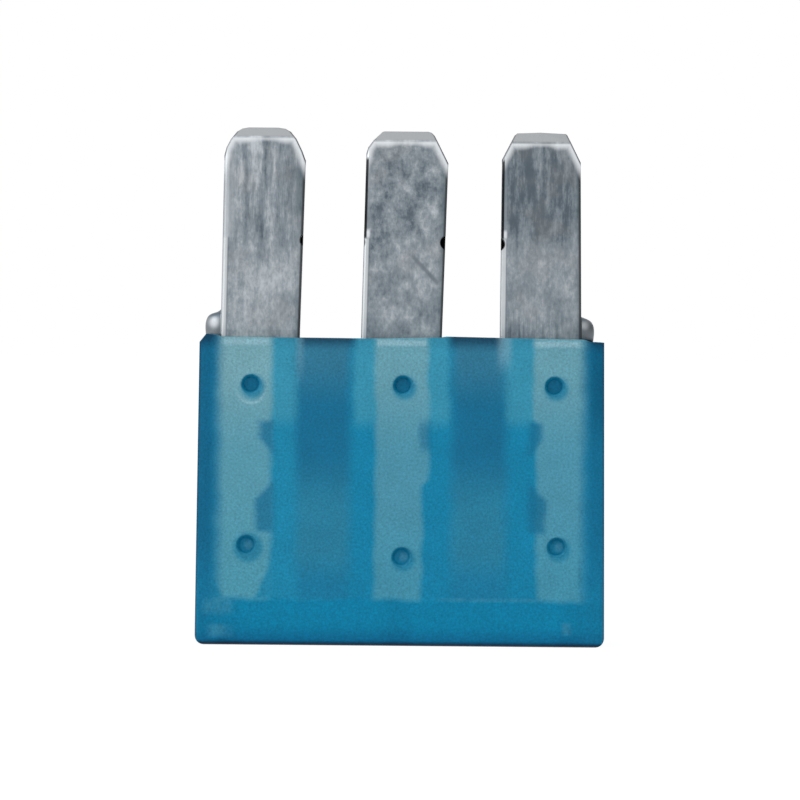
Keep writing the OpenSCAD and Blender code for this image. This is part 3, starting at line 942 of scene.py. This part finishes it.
def make_bars():
    """The CAD's stamping from below the rim down: bars, link lands and links."""
    work = copy_of_mesh("fuse_element")
    geometry = list(work.verts) + list(work.edges) + list(work.faces)
    height = (RIM_Z - BLADE_FOOT + 0.02) * MM
    cut = bmesh.ops.bisect_plane(work, geom=geometry, plane_co=(0, 0, height),
                                 plane_no=(0, 0, 1), clear_outer=True)
    border = [item for item in cut["geom_cut"] if isinstance(item, bmesh.types.BMEdge)]
    bmesh.ops.edgeloop_fill(work, edges=border)
    return piece_from(work, "bars")


def make_element():
    """One stamping, joined from the blades, the ears and the bars inside the housing."""
    pieces = []
    cutters = []
    for blade in BLADES:
        pieces.append(make_blade(blade))
        cutters += cut_scars(pieces[-1], blade)
    pieces += [make_ear(BLADES[0].left, -1, LEFT_EAR), make_ear(BLADES[2].right, 1, RIGHT_EAR),
               make_bars()]
    bpy.context.view_layer.update()
    depsgraph = bpy.context.evaluated_depsgraph_get()
    whole = bmesh.new()
    for piece in pieces:
        mesh = bpy.data.meshes.new_from_object(piece.evaluated_get(depsgraph))
        whole.from_mesh(mesh)
        bpy.data.meshes.remove(mesh)
    for piece in pieces + cutters:
        bpy.data.objects.remove(piece)
    mesh = bpy.data.meshes.new("stamped_element")
    whole.to_mesh(mesh)
    whole.free()
    element = bpy.data.objects.new("stamped_element", mesh)
    bpy.context.scene.collection.objects.link(element)
    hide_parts("fuse_element")
    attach(element, "root")
    return element


def give(piece, material):
    piece.data.materials.clear()
    piece.data.materials.append(material)


def make_camera():
    """A long lens, aimed so that the photograph's pixels fall where they do there."""
    elevation = math.radians(CAMERA_ELEVATION)
    middle = PHOTO_SIZE / 2
    target = Vector(((middle - FUSE_MIDDLE_X_PX) / PIXELS_PER_MM, -FACE_Y,
                     (HEAD_END_Y_PX - middle) / PIXELS_PER_MM)) * MM
    towards = Vector((0.0, -math.cos(elevation), math.sin(elevation)))
    data = bpy.data.cameras.new("camera")
    data.sensor_width = SENSOR_WIDTH
    data.lens = SENSOR_WIDTH * CAMERA_DISTANCE * PIXELS_PER_MM / PHOTO_SIZE
    data.clip_start = 0.01
    camera = bpy.data.objects.new("camera", data)
    camera.location = target + towards * CAMERA_DISTANCE * MM
    look = (-towards).to_track_quat("-Z", "Y").to_matrix().to_4x4()
    roll = Matrix.Rotation(math.radians(CAMERA_ROLL), 4, "Z")
    camera.rotation_euler = (look @ roll).to_euler()
    bpy.context.scene.collection.objects.link(camera)
    bpy.context.scene.camera = camera


def seen_directly(g):
    """1 for rays that show the background itself, in the picture or through glass or gloss."""
    path = g.add("ShaderNodeLightPath").outputs
    return g.union(path["Is Camera Ray"], path["Is Glossy Ray"], path["Is Transmission Ray"])


def make_floor():
    """A pale floor that shows as white, with a faint shadow."""
    bpy.ops.mesh.primitive_plane_add(size=FLOOR_SIZE, location=(0, 0, 0))
    floor = bpy.context.object
    floor.name = "floor"
    material = bpy.data.materials.new("white_floor")
    material.use_nodes = True
    g = Graph(material.node_tree)
    white = g.add("ShaderNodeEmission", {"Color": WHITE, "Strength": FLOOR_GLOW})
    matt = g.add("ShaderNodeBsdfDiffuse", {"Color": (FLOOR_GREY,) * 3 + (1.0,)})
    share = g.math("MULTIPLY", seen_directly(g), FLOOR_GLOW_SHARE)
    mixed = g.add("ShaderNodeMixShader", {0: share, 1: matt.outputs[0], 2: white.outputs[0]})
    finish_material(g, mixed)
    floor.data.materials.append(material)


def make_light():
    """A white studio that is brighter at the upper left, with one large soft lamp there."""
    world = bpy.data.worlds.new("studio")
    bpy.context.scene.world = world
    world.use_nodes = True
    g = Graph(world.node_tree)
    path = g.add("ShaderNodeLightPath").outputs
    direction = g.add("ShaderNodeTexCoord").outputs["Generated"]
    split = g.add("ShaderNodeSeparateXYZ", {0: direction}).outputs
    slope = g.math("ADD", g.product(split["X"], GLOSS_SLOPE_X),
                   g.product(split["Z"], GLOSS_SLOPE_Z))
    in_gloss = g.math("ADD", GLOSS_LEVEL, slope)
    straight = g.union(path["Is Camera Ray"], path["Is Transmission Ray"])
    gloss = g.product(path["Is Glossy Ray"], in_gloss)
    other = g.outside(g.union(straight, path["Is Glossy Ray"]))
    strength = g.math("ADD", g.union(straight, gloss), other)
    background = g.add("ShaderNodeBackground", {"Color": WHITE, "Strength": strength})
    g.add("ShaderNodeOutputWorld", {"Surface": background.outputs[0]})

    lamp = bpy.data.lights.new("key", "AREA")
    lamp.shape = "DISK"
    lamp.size = LAMP_SIZE
    lamp.energy = LAMP_ENERGY
    key = bpy.data.objects.new("key", lamp)
    key.location = LAMP_PLACE
    key.rotation_euler = (LAMP_TARGET - LAMP_PLACE).to_track_quat("-Z", "Y").to_euler()
    bpy.context.scene.collection.objects.link(key)


make_camera()
make_light()
make_floor()
give(make_housing(), plastic_material())
give(make_element(), metal_material())
bpy.context.scene.view_settings.view_transform = "Standard"
